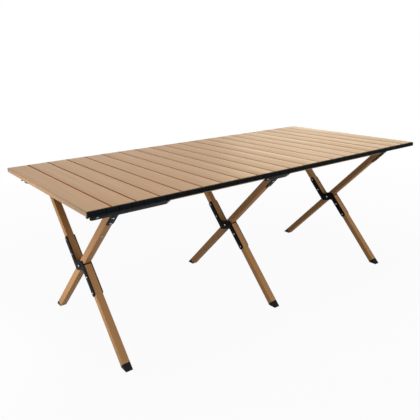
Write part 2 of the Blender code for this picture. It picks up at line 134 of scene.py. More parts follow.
# The picture's side, focal length and axis in pixels, the sensor's width in millimetres, and the
# camera's azimuth, elevation and roll in degrees
PICTURE = 420.0
FOCAL = 502.53
AXIS = (226.22, 191.53)
SENSOR = 36.0
CAMERA_TURN = (37.705, -15.345, -1.350)
CAMERA_AT = (-0.9793, -1.2607, 0.7619)


# Settings


class SlatSettings(bpy.types.PropertyGroup):
    """Sizes and colours of the slats and their end caps."""

    width: FloatProperty(
        name="Slat width", description="Width of one slat", default=SLAT_WIDTH, unit="LENGTH"
    )
    wall: FloatProperty(
        name="Wall", description="Thickness of the slat's sheet", default=0.0012, unit="LENGTH"
    )
    edge: FloatProperty(
        name="Edge radius", description="Rounding of the long edges", default=0.0014, unit="LENGTH"
    )
    lip: FloatProperty(
        name="Lip", description="Width of the lips under the slat", default=0.006, unit="LENGTH"
    )
    film: FloatVectorProperty(
        name="Film colour",
        description="Ground colour of the wood film on the slats",
        default=(0.395, 0.236, 0.115),
        subtype="COLOR",
        size=3,
    )
    grain: FloatVectorProperty(
        name="Grain colour",
        description="Colour of the darker grain on the slats",
        default=(0.345, 0.195, 0.088),
        subtype="COLOR",
        size=3,
    )
    cap: FloatVectorProperty(
        name="Cap colour",
        description="Colour of the moulded end caps",
        default=(0.0030, 0.0042, 0.0052),
        subtype="COLOR",
        size=3,
    )


class LegSettings(bpy.types.PropertyGroup):
    """Sizes and colours of the legs, rails and feet."""

    corner: FloatProperty(
        name="Tube corner", description="Outside corner radius", default=0.0018, unit="LENGTH"
    )
    wall: FloatProperty(
        name="Wall", description="Wall thickness of the tubes", default=0.0012, unit="LENGTH"
    )
    # Painted shade: the tube film and grain are the slats' film made darker, standing in for the shade
    # under the table where the legs and rails stand
    film: FloatVectorProperty(
        name="Film colour",
        description="Ground colour of the wood film on the tubes",
        default=(0.325, 0.175, 0.074),
        subtype="COLOR",
        size=3,
    )
    grain: FloatVectorProperty(
        name="Grain colour",
        description="Colour of the darker grain on the tubes",
        default=(0.262, 0.130, 0.050),
        subtype="COLOR",
        size=3,
    )
    foot: FloatVectorProperty(
        name="Foot colour",
        description="Colour of the rubbery feet and plugs",
        default=(0.0040, 0.0040, 0.0045),
        subtype="COLOR",
        size=3,
    )


class PlateSettings(bpy.types.PropertyGroup):
    """Sizes and colours of the steel plates and rivets."""

    thickness: FloatProperty(
        name="Thickness", description="Thickness of the plates", default=PLATE, unit="LENGTH"
    )
    rim: FloatProperty(
        name="Rim", description="Rounding of the stamped rims", default=0.0004, unit="LENGTH"
    )
    head: FloatProperty(
        name="Rivet head", description="Radius of the rivet heads", default=0.0030, unit="LENGTH"
    )
    steel: FloatVectorProperty(
        name="Plate colour",
        description="Colour of the powder coat on the plates",
        default=(0.0028, 0.0028, 0.0031),
        subtype="COLOR",
        size=3,
    )
    rivet: FloatVectorProperty(
        name="Rivet colour",
        description="Colour of the bare rivets and pins",
        default=(0.26, 0.28, 0.33),
        subtype="COLOR",
        size=3,
    )


class StageSettings(bpy.types.PropertyGroup):
    """Floor, light and camera."""

    fill: FloatProperty(
        name="Fill light", description="Strength of the light from all round", default=0.21
    )
    overhead: FloatProperty(
        name="Overhead light", description="Power of the wide lamp above", default=51.0, unit="POWER"
    )
    front: FloatProperty(
        name="Front light", description="Power of the lamp high in front", default=62.0, unit="POWER"
    )
    low: FloatProperty(
        name="Low light", description="Power of the lamp low in front", default=34.0, unit="POWER"
    )
    side: FloatProperty(
        name="Side light", description="Power of the lamp at the left end", default=4.0, unit="POWER"
    )
    back: FloatProperty(
        name="Back light",
        description="Power of the lamp behind the right end",
        default=20.5,
        unit="POWER",
    )
    floor: FloatVectorProperty(
        name="Floor colour",
        description="Colour of the floor",
        default=(0.38, 0.38, 0.38),
        subtype="COLOR",
        size=3,
    )


# Modelling helpers


def deselect():
    """Leave edit mode and deselect everything."""
    if bpy.context.object and bpy.context.object.mode != "OBJECT":
        bpy.ops.object.mode_set(mode="OBJECT")
    bpy.ops.object.select_all(action="DESELECT")


def take(thing):
    """Make one object the only selected and active one."""
    deselect()
    thing.select_set(True)
    bpy.context.view_layer.objects.active = thing


def fix_placement():
    """Put the active object's place, turn and size into its mesh."""
    bpy.ops.object.transform_apply(location=True, rotation=True, scale=True)


def start_block(name, low, high):
    """A cube between two corners, with its size and place in its mesh."""
    deselect()
    low = Vector(low)
    high = Vector(high)
    bpy.ops.mesh.primitive_cube_add(size=1.0, location=(low + high) / 2)
    block = bpy.context.object
    block.name = name
    block.scale = high - low
    fix_placement()
    return block


def start_disc(name, sides, radius, low, height):
    """A cylinder on the Z axis that stands on a level, with its place in its mesh."""
    deselect()
    bpy.ops.mesh.primitive_cylinder_add(
        vertices=sides, radius=radius, depth=height, location=(0.0, 0.0, low + height / 2)
    )
    disc = bpy.context.object
    disc.name = name
    fix_placement()
    return disc


def enter(thing, kind):
    """Go into edit mode on faces, edges or vertices."""
    take(thing)
    bpy.ops.object.mode_set(mode="EDIT")
    bpy.ops.mesh.select_mode(type=kind)
    bpy.ops.mesh.select_all(action="DESELECT")


def leave():
    """Go back to object mode."""
    bpy.ops.object.mode_set(mode="OBJECT")


def middle(element):
    """The middle of a face, an edge or a vertex."""
    if isinstance(element, bmesh.types.BMVert):
        return element.co.copy()
    if isinstance(element, bmesh.types.BMEdge):
        return (element.verts[0].co + element.verts[1].co) / 2
    return element.calc_center_median()


def near(value, target, slack=1e-5):
    """Whether two sizes are the same."""
    return abs(value - target) < slack


def at(element, **places):
    """Whether a face, an edge or a vertex has its middle at the x, y or z given."""
    spot = middle(element)
    return all(near(getattr(spot, axis), target) for axis, target in places.items())


def along(edge, axis):
    """Whether an edge runs along an axis."""
    step = edge.verts[1].co - edge.verts[0].co
    return abs(step[axis]) > 0.999 * step.length


def choose(thing, kind, wanted):
    """Select the faces, edges or vertices that pass a test, and no others."""
    bpy.ops.mesh.select_mode(type=kind)
    bpy.ops.mesh.select_all(action="DESELECT")
    mesh = bmesh.from_edit_mesh(thing.data)
    elements = {"FACE": mesh.faces, "EDGE": mesh.edges, "VERT": mesh.verts}[kind]
    chosen = [element for element in elements if wanted(element)]
    if not chosen:
        raise RuntimeError(f"nothing was selected on {thing.name}")
    for element in chosen:
        element.select_set(True)
    bmesh.update_edit_mesh(thing.data)


def push(x=0.0, y=0.0, z=0.0):
    """Extrude the selected region by a vector."""
    bpy.ops.mesh.extrude_region_move(TRANSFORM_OT_translate={"value": (x, y, z)})


def shift(x=0.0, y=0.0, z=0.0):
    """Move the selection by a vector."""
    bpy.ops.transform.translate(value=(x, y, z))


def round_off(width, segments):
    """Bevel the selected edges."""
    bpy.ops.mesh.bevel(
        offset=width, offset_type="OFFSET", segments=segments, profile=0.5, affect="EDGES"
    )


def round_along(thing, axis, width, segments):
    """Bevel the edges that run along an axis."""
    choose(thing, "EDGE", lambda edge: along(edge, axis))
    round_off(width, segments)


def inset(thickness, depth=0.0):
    """Inset the selected faces."""
    bpy.ops.mesh.inset(thickness=thickness, depth=depth)


def turn_outwards():
    """Turn all faces of the mesh in edit mode outwards."""
    bpy.ops.mesh.select_all(action="SELECT")
    bpy.ops.mesh.normals_make_consistent(inside=False)


def apply_modifiers(thing):
    """Apply all modifiers in order."""
    take(thing)
    for modifier in list(thing.modifiers):
        bpy.ops.object.modifier_apply(modifier=modifier.name)


def give_wall(thing, thickness):
    """Turn an open skin into sheet of a thickness, inwards."""
    wall = thing.modifiers.new("wall", "SOLIDIFY")
    wall.thickness = thickness
    wall.offset = -1.0
    wall.use_even_offset = True
    apply_modifiers(thing)


def fuse(thing, others):
    """Join other blocks into a piece with unions."""
    for other in others:
        union = thing.modifiers.new("union", "BOOLEAN")
        union.operation = "UNION"
        union.solver = "EXACT"
        union.object = other
        apply_modifiers(thing)
        bpy.data.objects.remove(other, do_unlink=True)


def tidy_mesh(thing):
    """Merge doubles and turn all faces outwards."""
    enter(thing, "VERT")
    bpy.ops.mesh.select_all(action="SELECT")
    bpy.ops.mesh.remove_doubles(threshold=0.00001)
    turn_outwards()
    leave()


def smooth(thing, degrees=35.0):
    """Shade smooth, with sharp edges kept."""
    take(thing)
    bpy.ops.object.shade_smooth_by_angle(angle=math.radians(degrees))


def place(thing, matrix):
    """Put a placement into the mesh and leave the object at the origin."""
    take(thing)
    thing.matrix_world = matrix
    fix_placement()


def copy_of(thing, name):
    """A copy with its own mesh."""
    twin = thing.copy()
    twin.data = thing.data.copy()
    twin.name = name
    bpy.context.scene.collection.objects.link(twin)
    return twin


def set_grain(thing, matrix, seed):
    """Store each point's place along and across the wood film, as the piece's own pattern."""
    inverse = matrix.inverted()
    store = thing.data.attributes.new("film_place", "FLOAT_VECTOR", "POINT")
    offset = Vector([seed * share for share in FILM_SHIFT])
    for index, vertex in enumerate(thing.data.vertices):
        store.data[index].vector = inverse @ vertex.co + offset


def dress(thing, body, material, nodes=()):
    """Give a finished piece its material, its body and the nodes it stands for."""
    thing.data.materials.clear()
    thing.data.materials.append(material)
    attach(thing, body)
    if nodes:
        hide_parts(*nodes)


def spread(shape, copies, material, seed=None):
    """Copy a shape by name, placement, body and nodes, with film from a seed on, and remove it."""
    for order, (name, matrix, body, nodes) in enumerate(copies):
        piece = copy_of(shape, name)
        place(piece, matrix)
        if seed is not None:
            set_grain(piece, matrix, seed + order)
        dress(piece, body, material, nodes)
    bpy.data.objects.remove(shape, do_unlink=True)


# Places on the table


def about(axis, degrees):
    """A turn about an axis."""
    return Matrix.Rotation(math.radians(degrees), 4, axis)


def moved(x=0.0, y=0.0, z=0.0):
    """A move by a vector."""
    return Matrix.Translation((x, y, z))


def slat_middle(index, width):
    """Where a slat's middle lies along the table."""
    return FIRST_SLAT[0].x + width / 2 + index * SLAT_PITCH


def leg_matrix(kind, x, offset=0.0):
    """A placement at a frame's pivot: X along the table, Z up the leg, Y square to both."""
    lean = -1.0 if kind == "through" else 1.0
    up = Vector((0.0, lean * math.cos(SLOPE[kind]), math.sin(SLOPE[kind])))
    side = Vector((1.0, 0.0, 0.0))
    square = up.cross(side)
    turn = Matrix((side, square, up)).transposed().to_4x4()
    return Matrix.Translation(PIVOT + Vector((x, 0.0, 0.0)) + square * offset) @ turn


def up_height(kind):
    """How much a leg rises for each metre of its length, and its lower face's fall."""
    return math.sin(SLOPE[kind]), -math.cos(SLOPE[kind])


def rail_reach(kind):
    """How far up its leg a rail lies."""
    up_z, out_z = up_height(kind)
    height = SLAT_UNDERSIDE - GAP - RAIL / 2 * (abs(up_z) + abs(out_z))
    return (height - PIVOT.z - (HEAD_OFFSET[kind] + (TUBE - RAIL) / 2) * out_z) / up_z


def tube_end(kind):
    """How far down its leg the tube stops above the foot."""
    sole = 0.0025
    up_z, out_z = up_height(kind)
    return (PIVOT.z + (HEAD_OFFSET[kind] - HALF_TUBE) * -out_z) / up_z - sole / up_z


def gusset_span(kind):
    """The lower edge, upper edge and tab end of a gusset, measured up its leg."""
    centre = rail_reach(kind)
    low = centre - RAIL / 2 - GUSSET_DROP
    return low, centre + RAIL / 2, low - TAB_LENGTH


# Materials


def feed(tree, socket, value):
    """Link a socket to another one, or set it to a number or a colour."""
    if isinstance(value, bpy.types.NodeSocket):
        tree.links.new(value, socket)
    elif socket.type == "RGBA":
        socket.default_value = (*value[:3], 1.0)
    else:
        socket.default_value = value


def add_node(tree, kind, inputs=None, **choices):
    """A new node, with its choices made and its inputs fed."""
    made = tree.nodes.new(kind)
    for key, choice in choices.items():
        setattr(made, key, choice)
    for key, value in (inputs or {}).items():
        feed(tree, made.inputs[key], value)
    return made


def combined(tree, operation, first, second):
    """The sum, product or maximum of two values."""
    return add_node(tree, "ShaderNodeMath", {0: first, 1: second}, operation=operation).outputs[0]


def noise(tree, vector, scale, detail=2.0, roughness=0.5):
    """A noise pattern on a vector."""
    inputs = {"Vector": vector, "Scale": scale, "Detail": detail, "Roughness": roughness}
    return add_node(tree, "ShaderNodeTexNoise", inputs).outputs["Fac"]


def stretched(tree, vector, scale):
    """A vector scaled unevenly."""
    return add_node(tree, "ShaderNodeMapping", {"Vector": vector, "Scale": scale}).outputs["Vector"]


def levels(tree, value, low, high, to_low=0.0, to_high=1.0):
    """A value spread between new limits."""
    limits = {"From Min": low, "From Max": high, "To Min": to_low, "To Max": to_high}
    return add_node(tree, "ShaderNodeMapRange", {"Value": value, **limits}).outputs["Result"]


def mixed(tree, factor, first, second):
    """Two colours mixed by a factor."""
    inputs = {0: factor, 6: first, 7: second}
    return add_node(tree, "ShaderNodeMix", inputs, data_type="RGBA").outputs[2]


def tinted(shade, factors):
    """A colour with each channel scaled."""
    return tuple(channel * factor for channel, factor in zip(shade, factors))


def new_finish(name):
    """A Principled material, with its node tree."""
    material = bpy.data.materials.new(name)
    material.use_nodes = True
    return material, material.node_tree


def spot_on(tree):
    """Each point's place on the piece."""
    return add_node(tree, "ShaderNodeTexCoord").outputs["Object"]


def set_shader(tree, inputs):
    """Feed the inputs of the Principled shader."""
    for key, value in inputs.items():
        feed(tree, tree.nodes["Principled BSDF"].inputs[key], value)


def relief(tree, height, strength, distance):
    """Relief from a height."""
    inputs = {"Strength": strength, "Distance": distance, "Height": height}
    bump = add_node(tree, "ShaderNodeBump", inputs)
    set_shader(tree, {"Normal": bump.outputs["Normal"]})


def wood_film(name, ground, grain, roughness, gloss_level, contrast):
    """Printed wood film on aluminium: soft streaks along the piece, broad shades, and painted redder
    bounce light in the gaps.
    """
    material, tree = new_finish(name)
    film = add_node(tree, "ShaderNodeAttribute", attribute_name="film_place").outputs["Vector"]
    fine = noise(tree, stretched(tree, film, (340, 340, 8)), 1.0, 3.0, 0.6)
    broad = noise(tree, stretched(tree, film, (85, 85, 2.4)), 1.0)
    shade = noise(tree, stretched(tree, film, (18, 18, 2.0)), 1.0)
    streak = levels(tree, fine, 0.30, 0.75, 0.0, 0.16 * contrast)
    band = levels(tree, broad, 0.30, 0.75, 0.0, 0.55 * contrast)
    base = mixed(tree, combined(tree, "ADD", streak, band), ground, grain)
    base = mixed(tree, levels(tree, shade, 0.35, 0.65, 0.0, 0.35), base, tinted(ground, WARM_TINT))
    # Painted bounce light: where the slats' sides face a neighbour, the film is brightened and reddened
    # to stand in for light bounced in the gap
    gap_side = add_node(tree, "ShaderNodeAttribute", attribute_name="gap_side").outputs["Fac"]
    base = mixed(tree, gap_side, base, tinted(ground, PAINTED_GAP_BOUNCE_TINT))
    gloss = levels(tree, broad, 0.3, 0.7, roughness - 0.05, roughness + 0.06)
    set_shader(tree, {"Base Color": base, "Roughness": gloss, "Specular IOR Level": gloss_level})
    relief(tree, broad, 0.03, 0.0001)
    return material


def moulded(name, ground, roughness, grain_scale, gloss_level):
    """Moulded black plastic with a fine spark-eroded texture."""
    material, tree = new_finish(name)
    spot = spot_on(tree)
    fine = noise(tree, spot, grain_scale, 3.0, 0.6)
    broad = noise(tree, spot, 38.0)
    lighter = tuple(channel * 1.5 + 0.0004 for channel in ground)
    base = mixed(tree, levels(tree, broad, 0.3, 0.75, 0.0, 0.8), ground, lighter)
    gloss = levels(tree, fine, 0.3, 0.7, roughness - 0.06, roughness + 0.06)
    set_shader(tree, {"Base Color": base, "Roughness": gloss, "Specular IOR Level": gloss_level})
    relief(tree, fine, 0.18, 0.0002)
    return material


def powder_coat(name, ground):
    """Black powder coat on stamped steel, with a slight orange peel."""
    material, tree = new_finish(name)
    spot = spot_on(tree)
    peel = noise(tree, spot, 900.0)
    haze = noise(tree, spot, 60.0)
    base = mixed(tree, levels(tree, haze, 0.35, 0.75), ground, tinted(ground, (1.6, 1.6, 1.6)))
    gloss = levels(tree, haze, 0.3, 0.7, 0.42, 0.52)
    set_shader(tree, {"Base Color": base, "Roughness": gloss, "Specular IOR Level": 0.025})
    relief(tree, peel, 0.12, 0.00015)
    return material


def bare_steel(name, ground):
    """Plain zinc-bright rivets and pins."""
    material, tree = new_finish(name)
    spot = spot_on(tree)
    scuff = noise(tree, spot, 1400.0)
    dull = noise(tree, spot, 260.0)
    base = mixed(tree, levels(tree, dull, 0.35, 0.7), ground, tinted(ground, (0.72, 0.72, 0.72)))
    gloss = levels(tree, scuff, 0.3, 0.7, 0.28, 0.42)
    set_shader(tree, {"Base Color": base, "Roughness": gloss, "Metallic": 1.0})
    return material


def finish_named(name):
    """A material made earlier, or made now from the settings."""
    made = bpy.data.materials.get(name)
    if made:
        return made
    scene = bpy.context.scene
    slat, leg, plate = scene.camp_slats, scene.camp_legs, scene.camp_plates
    makers = {
        "slat_wood_film": lambda: wood_film(name, slat.film, slat.grain, 0.42, 0.22, 1.0),
        # Painted shade: the tubes' film is darker than the slats' to stand in for the shade under the
        # table
        "tube_wood_film": lambda: wood_film(name, leg.film, leg.grain, 0.52, 0.06, 0.7),
        "cap_nylon": lambda: moulded(name, slat.cap, 0.46, 1500.0, 0.02),
        "foot_rubber": lambda: moulded(name, leg.foot, 0.60, 1200.0, 0.08),
        "plate_powder_coat": lambda: powder_coat(name, plate.steel),
        "rivet_steel": lambda: bare_steel(name, plate.rivet),
    }
    return makers[name]()


# Slats


class CAMPTABLE_OT_slats(bpy.types.Operator):
    """Fold the channel of one slat and copy it along the table"""

    bl_idname = "camptable.slats"
    bl_label = "Slats"

    def board(self, slat):
        """One slat about X 0: a channel open at its ends, with lips turned in underneath."""
        half = slat.width / 2
        low, high = SLAT_UNDERSIDE, TABLE_TOP
        board = start_block("board", (-half, -SLAT_END, low), (half, SLAT_END, high))
        enter(board, "FACE")
        choose(board, "FACE", lambda face: abs(face.normal.y) > 0.9 or face.normal.z < -0.9)
        bpy.ops.mesh.delete(type="FACE")
        for side in (-1, 1):
            choose(board, "EDGE", lambda edge: along(edge, 1) and at(edge, x=side * half, z=low))
            bpy.ops.mesh.extrude_edges_move(
                TRANSFORM_OT_translate={"value": (-side * slat.lip, 0.0, 0.0)}
            )
        choose(board, "EDGE", lambda edge: along(edge, 1) and at(edge, z=high))
        round_off(slat.edge, 5)
        choose(
            board,
            "EDGE",
            lambda edge: along(edge, 1) and at(edge, z=low) and near(abs(middle(edge).x), half),
        )
        round_off(0.0006, 2)
        turn_outwards()
        leave()
        give_wall(board, slat.wall)
        tidy_mesh(board)
        smooth(board, 40.0)
        return board

    def mark_painted_gap_bounce(self, piece, centre, half):
        """Mark the sides of a slat that face a neighbour, where the film gets painted, redder bounce
        light in the gap.
        """
        store = piece.data.attributes.new("gap_side", "FLOAT", "POINT")
        for index, vertex in enumerate(piece.data.vertices):
            x, height = vertex.co.x, vertex.co.z
            at_side = near(abs(x - centre), half, 0.0002) and height < TABLE_TOP - 0.0010
            at_end = abs(x) > CAD_BOX[1].x - 0.002
            store.data[index].value = 1.0 if at_side and not at_end else 0.0

    def execute(self, context):
        slat = context.scene.camp_slats
        board = self.board(slat)
        film = finish_named("slat_wood_film")
        for index in range(SLAT_COUNT):
            number = f"{index + 1:02d}"
            piece = copy_of(board, f"slat_board_{number}")
            centre = slat_middle(index, slat.width)
            place(piece, moved(x=centre))
            set_grain(piece, moved(x=centre) @ about("X", 90.0), index + 1)
            self.mark_painted_gap_bounce(piece, centre, slat.width / 2)
            dress(piece, f"slat_{number}", film, [f"slat_{number}"])
        bpy.data.objects.remove(board, do_unlink=True)
        return {"FINISHED"}


class CAMPTABLE_OT_end_caps(bpy.types.Operator):
    """Mould the hinged end caps and put one on each end of each slat"""

    bl_idname = "camptable.end_caps"
    bl_label = "End caps"

    plate = 0.002
    groove = 0.0044
    knuckle = 0.015
    seam = 0.0008
    side_inset = 0.0002
    rim = 0.0009
    plug_reach = 0.015
    pocket = 0.012

    def plug(self, width):
        """The hollow plug that goes into the slat's end."""
        inside = width / 2 - 0.0015
        low, high = (-inside, -0.0005, 0.0015), (inside, self.plug_reach, 0.0115)
        plug = start_block("plug", low, high)
        enter(plug, "FACE")
        choose(plug, "FACE", lambda face: face.normal.y > 0.9)
        inset(0.0016)
        push(y=-self.pocket)
        choose(plug, "EDGE", lambda edge: at(edge, y=self.plug_reach))
        round_off(0.0004, 1)
        leave()
        return plug

    def shape(self, name, is_first, is_last, width):
        """A cap that faces -Y, with its slat's end face at Y 0."""
        edge = width / 2 - self.side_inset
        start, stop = -self.knuckle + self.seam / 2, self.knuckle - self.seam / 2
        link = self.knuckle + self.seam / 2
        lap = SLAT_PITCH - self.knuckle - self.seam / 2
        cap = start_block(name, (-edge, -self.plate, CAP_LOW), (edge, 0.0, CAP_HIGH))
        enter(cap, "FACE")
        if is_last:
            seams = (start,)
        elif is_first:
            seams = (stop, link)
        else:
            seams = (start, stop, link)
        for x in seams:
            bpy.ops.mesh.select_all(action="SELECT")
            bpy.ops.mesh.bisect(plane_co=(x, 0.0, 0.0), plane_no=(1.0, 0.0, 0.0))
        left = -edge if is_first else start
        choose(
            cap,
            "FACE",
            lambda face: face.normal.y < -0.9 and left - 1e-5 < middle(face).x < edge + 1e-5,
        )
        push(y=-GAP)
        push(y=self.plate + GAP - self.groove)
        spans = [(left, edge if is_last else stop)]
        if not is_last:
            step = -self.plate - GAP - 1e-5
            choose(cap, "FACE", lambda face: face.normal.x > 0.9 and middle(face).y < step)
            push(x=lap - edge)
            spans.append((link, lap))
        choose(
            cap,
            "FACE",
            lambda face: face.normal.y < -0.9
            and at(face, y=-self.groove)
            and any(a < middle(face).x < b for a, b in spans),
        )
        push(y=self.groove - CAP_DEPTH)
        bpy.ops.mesh.select_all(action="SELECT")
        bpy.ops.mesh.dissolve_limited(angle_limit=math.radians(1.0))
        choose(cap, "EDGE", lambda edge: at(edge, y=-CAP_DEPTH))
        round_off(self.rim, 4)
        leave()
        fuse(cap, [self.plug(width)])
        tidy_mesh(cap)
        smooth(cap)
        return cap

    def execute(self, context):
        width = context.scene.camp_slats.width
        shapes = {
            "first": self.shape("cap_first", True, False, width),
            "inner": self.shape("cap_inner", False, False, width),
            "last": self.shape("cap_last", False, True, width),
        }
        nylon = finish_named("cap_nylon")
        flip = Matrix.Scale(-1.0, 4, (0.0, 1.0, 0.0))
        for index in range(SLAT_COUNT):
            kind = "first" if index == 0 else "last" if index == SLAT_COUNT - 1 else "inner"
            centre = slat_middle(index, width)
            number = f"{index + 1:02d}"
            for side, y, turn in (("near", -SLAT_END, Matrix()), ("far", SLAT_END, flip)):
                cap = copy_of(shapes[kind], f"{side}_end_cap_{number}")
                place(cap, moved(centre, y, SLAT_UNDERSIDE) @ turn)
                if side == "far":
                    tidy_mesh(cap)
                dress(cap, f"slat_{number}", nylon)
        for shape in shapes.values():
            bpy.data.objects.remove(shape, do_unlink=True)
        return {"FINISHED"}


# Tubes


def square_tube(name, size, start, end, corner, wall):
    """A square tube along Z from start to end, about the Z axis."""
    half = size / 2
    tube = start_block(name, (-half, -half, start), (half, half, end))
    enter(tube, "FACE")
    choose(tube, "FACE", lambda face: abs(face.normal.z) > 0.9)
    bpy.ops.mesh.delete(type="FACE")
    round_along(tube, 2, corner, 5)
    turn_outwards()
    leave()
    give_wall(tube, wall)
    tidy_mesh(tube)
    smooth(tube, 40.0)
    return tube


class CAMPTABLE_OT_legs(bpy.types.Operator):
    """Cut the through legs and the halves of the split legs"""

    bl_idname = "camptable.legs"
    bl_label = "Legs"

    def execute(self, context):
        leg = context.scene.camp_legs
        film = finish_named("tube_wood_film")
        inner = HALF_TUBE + GAP + STOP + GAP
        top = {kind: rail_reach(kind) - RAIL / 2 - GAP for kind in LEG_BODY}
        plan = (
            ("through_tube", "through", 0.0, -tube_end("through"), top["through"], "through_leg"),
            ("upper_half_tube", "split", SPLIT_OFFSET, inner, top["split"], "upper_half_leg"),
            ("lower_half_tube", "split", -SPLIT_OFFSET, -tube_end("split"), -inner, "lower_half_leg"),
        )
        seed = FIRST_LEG_SEED
        for name, kind, offset, start, end, node in plan:
            shape = square_tube(name, TUBE, start, end, leg.corner, leg.wall)
            copies = [
                (f"{name}_{label}", leg_matrix(kind, x, offset), LEG_BODY[kind], [f"{node}_{label}"])
                for label, x in FRAME_X.items()
            ]
            spread(shape, copies, film, seed)
            seed += len(copies)
        return {"FINISHED"}


class CAMPTABLE_OT_rails(bpy.types.Operator):
    """Cut the four rails under the slats and close their ends"""

    bl_idname = "camptable.rails"
    bl_label = "Rails"

    flange = 0.0025

    def sunk_plug(self, name, end, turn, leg):
        """A plug just inside the end of a rail along Z, with a shallow hollow in its face."""
        inside = RAIL / 2 - leg.wall - 0.0002
        low, high = sorted((end - turn * 0.0004, end - turn * 0.008))
        plug = start_block(name, (-inside, -inside, low), (inside, inside, high))
        enter(plug, "FACE")
        round_along(plug, 2, 0.0006, 2)
        choose(plug, "FACE", lambda face: face.normal.z * turn > 0.9)
        inset(0.0012)
        push(z=-turn * 0.001)
        leave()
        smooth(plug)
        return plug

    def flanged_plug(self, name, end, turn, leg):
        """A plug that covers the end of a rail along Z with its flange."""
        half = RAIL / 2
        outside = end + turn * (GAP / 2 + self.flange)
        low, high = sorted((end + turn * GAP / 2, outside))
        plug = start_block(name, (-half, -half, low), (half, half, high))
        enter(plug, "FACE")
        round_along(plug, 2, leg.corner * 0.8, 4)
        choose(plug, "EDGE", lambda edge: not along(edge, 2) and at(edge, z=outside))
        round_off(0.0008, 3)
        choose(plug, "FACE", lambda face: face.normal.z * turn < -0.9)
        inset(leg.wall + 0.0003)
        push(z=-turn * 0.010)
        leave()
        smooth(plug)
        return plug

    def execute(self, context):
        leg = context.scene.camp_legs
        film = finish_named("tube_wood_film")
        rubber = finish_named("foot_rubber")
        seed = FIRST_RAIL_SEED
        for side, kind, out in RAIL_SIDES:
            body = LEG_BODY[kind]
            lift = moved(y=out * (TUBE - RAIL) / 2, z=rail_reach(kind))
            matrix = leg_matrix(kind, 0.0, HEAD_OFFSET[kind]) @ lift @ about("Y", 90.0)
            for label, turn in (("left", -1), ("right", 1)):
                node = f"{side}_rail_{label}"
                low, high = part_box(node)
                rail = square_tube(f"{node}_tube", RAIL, low.x, high.x, leg.corner * 0.8, leg.wall)
                place(rail, matrix)
                set_grain(rail, matrix, seed)
                seed += 1
                dress(rail, body, film, [node])
                outer, inner = (low.x, high.x) if label == "left" else (high.x, low.x)
                for plug in (
                    self.flanged_plug(f"{node}_end_plug", outer, turn, leg),
                    self.sunk_plug(f"{node}_inner_plug", inner, -turn, leg),
                ):
                    place(plug, matrix)
                    dress(plug, body, rubber)
        return {"FINISHED"}


class CAMPTABLE_OT_feet(bpy.types.Operator):
    """Mould the wedge feet and the stops between the half legs"""

    bl_idname = "camptable.feet"
    bl_label = "Feet and plugs"

    fit = 0.0003
    foot_plug = 0.018
    stop_plug = 0.012

    def foot(self, kind, corner, wall):
        """A foot under a leg along Z, with its heel towards -Y."""
        up_z, out_z = up_height(kind)
        half, centre = HALF_TUBE, HEAD_OFFSET[kind]
        top = -tube_end(kind) - GAP
        heel = -(PIVOT.z + (centre - half) * -out_z) / up_z
        toe = -(PIVOT.z + (centre + half) * -out_z) / up_z
        foot = start_block(f"{kind}_foot", (-half, -half, toe), (half, half, top))
        enter(foot, "VERT")
        choose(foot, "VERT", lambda vert: near(vert.co.z, toe) and vert.co.y < 0.0)
        shift(z=heel - toe)
        choose(foot, "EDGE", lambda edge: all(v.co.z < top - 0.0005 for v in edge.verts))
        round_off(0.0013, 4)
        choose(
            foot,
            "EDGE",
            lambda edge: edge.is_manifold
            and edge.calc_face_angle() > 0.9
            and along(edge, 2)
            and max(v.co.z for v in edge.verts) > top - 0.0001,
        )
        round_off(corner * 0.8, 3)
        leave()
        inside = half - wall - self.fit
        high = top + self.foot_plug
        plug = start_block("plug", (-inside, -inside, top - 0.0002), (inside, inside, high))
        enter(plug, "FACE")
        round_along(plug, 2, 0.0008, 2)
        leave()
        fuse(foot, [plug])
        tidy_mesh(foot)
        smooth(foot)
        return foot

    def stop(self, corner, wall):
        """The stop at the inner end of a half leg, which points up the leg."""
        half = HALF_TUBE
        start = half + GAP
        end = start + STOP
        stop = start_block("stop", (-half, -half, start), (half, half, end))
        enter(stop, "EDGE")
        round_along(stop, 2, corner, 4)
        choose(stop, "EDGE", lambda edge: not along(edge, 2) and at(edge, z=start))
        round_off(0.0005, 2)
        leave()
        inside = half - wall - self.fit
        high = end + self.stop_plug
        plug = start_block("plug", (-inside, -inside, end - 0.0003), (inside, inside, high))
        fuse(stop, [plug])
        tidy_mesh(stop)
        smooth(stop)
        return stop

    def execute(self, context):
        leg = context.scene.camp_legs
        rubber = finish_named("foot_rubber")
        for side, kind, turn in (("far", "through", Matrix()), ("near", "split", about("Z", 180.0))):
            copies = [
                (
                    f"{side}_rubber_foot_{label}",
                    leg_matrix(kind, x, -HEAD_OFFSET[kind]) @ turn,
                    LEG_BODY[kind],
                    [f"{side}_foot_{label}"],
                )
                for label, x in FRAME_X.items()
            ]
            spread(self.foot(kind, leg.corner, leg.wall), copies, rubber)
        copies = [
            (
                f"{half}_stop_{label}",
                leg_matrix("split", x, offset) @ turn,
                SPLIT_BODY,
                [f"{half}_end_plug_{label}"],
            )
            for half, offset, turn in (
                ("upper", SPLIT_OFFSET, Matrix()),
                ("lower", -SPLIT_OFFSET, about("X", 180.0)),
            )
            for label, x in FRAME_X.items()
        ]
        spread(self.stop(leg.corner, leg.wall), copies, rubber)
        return {"FINISHED"}


# Plates


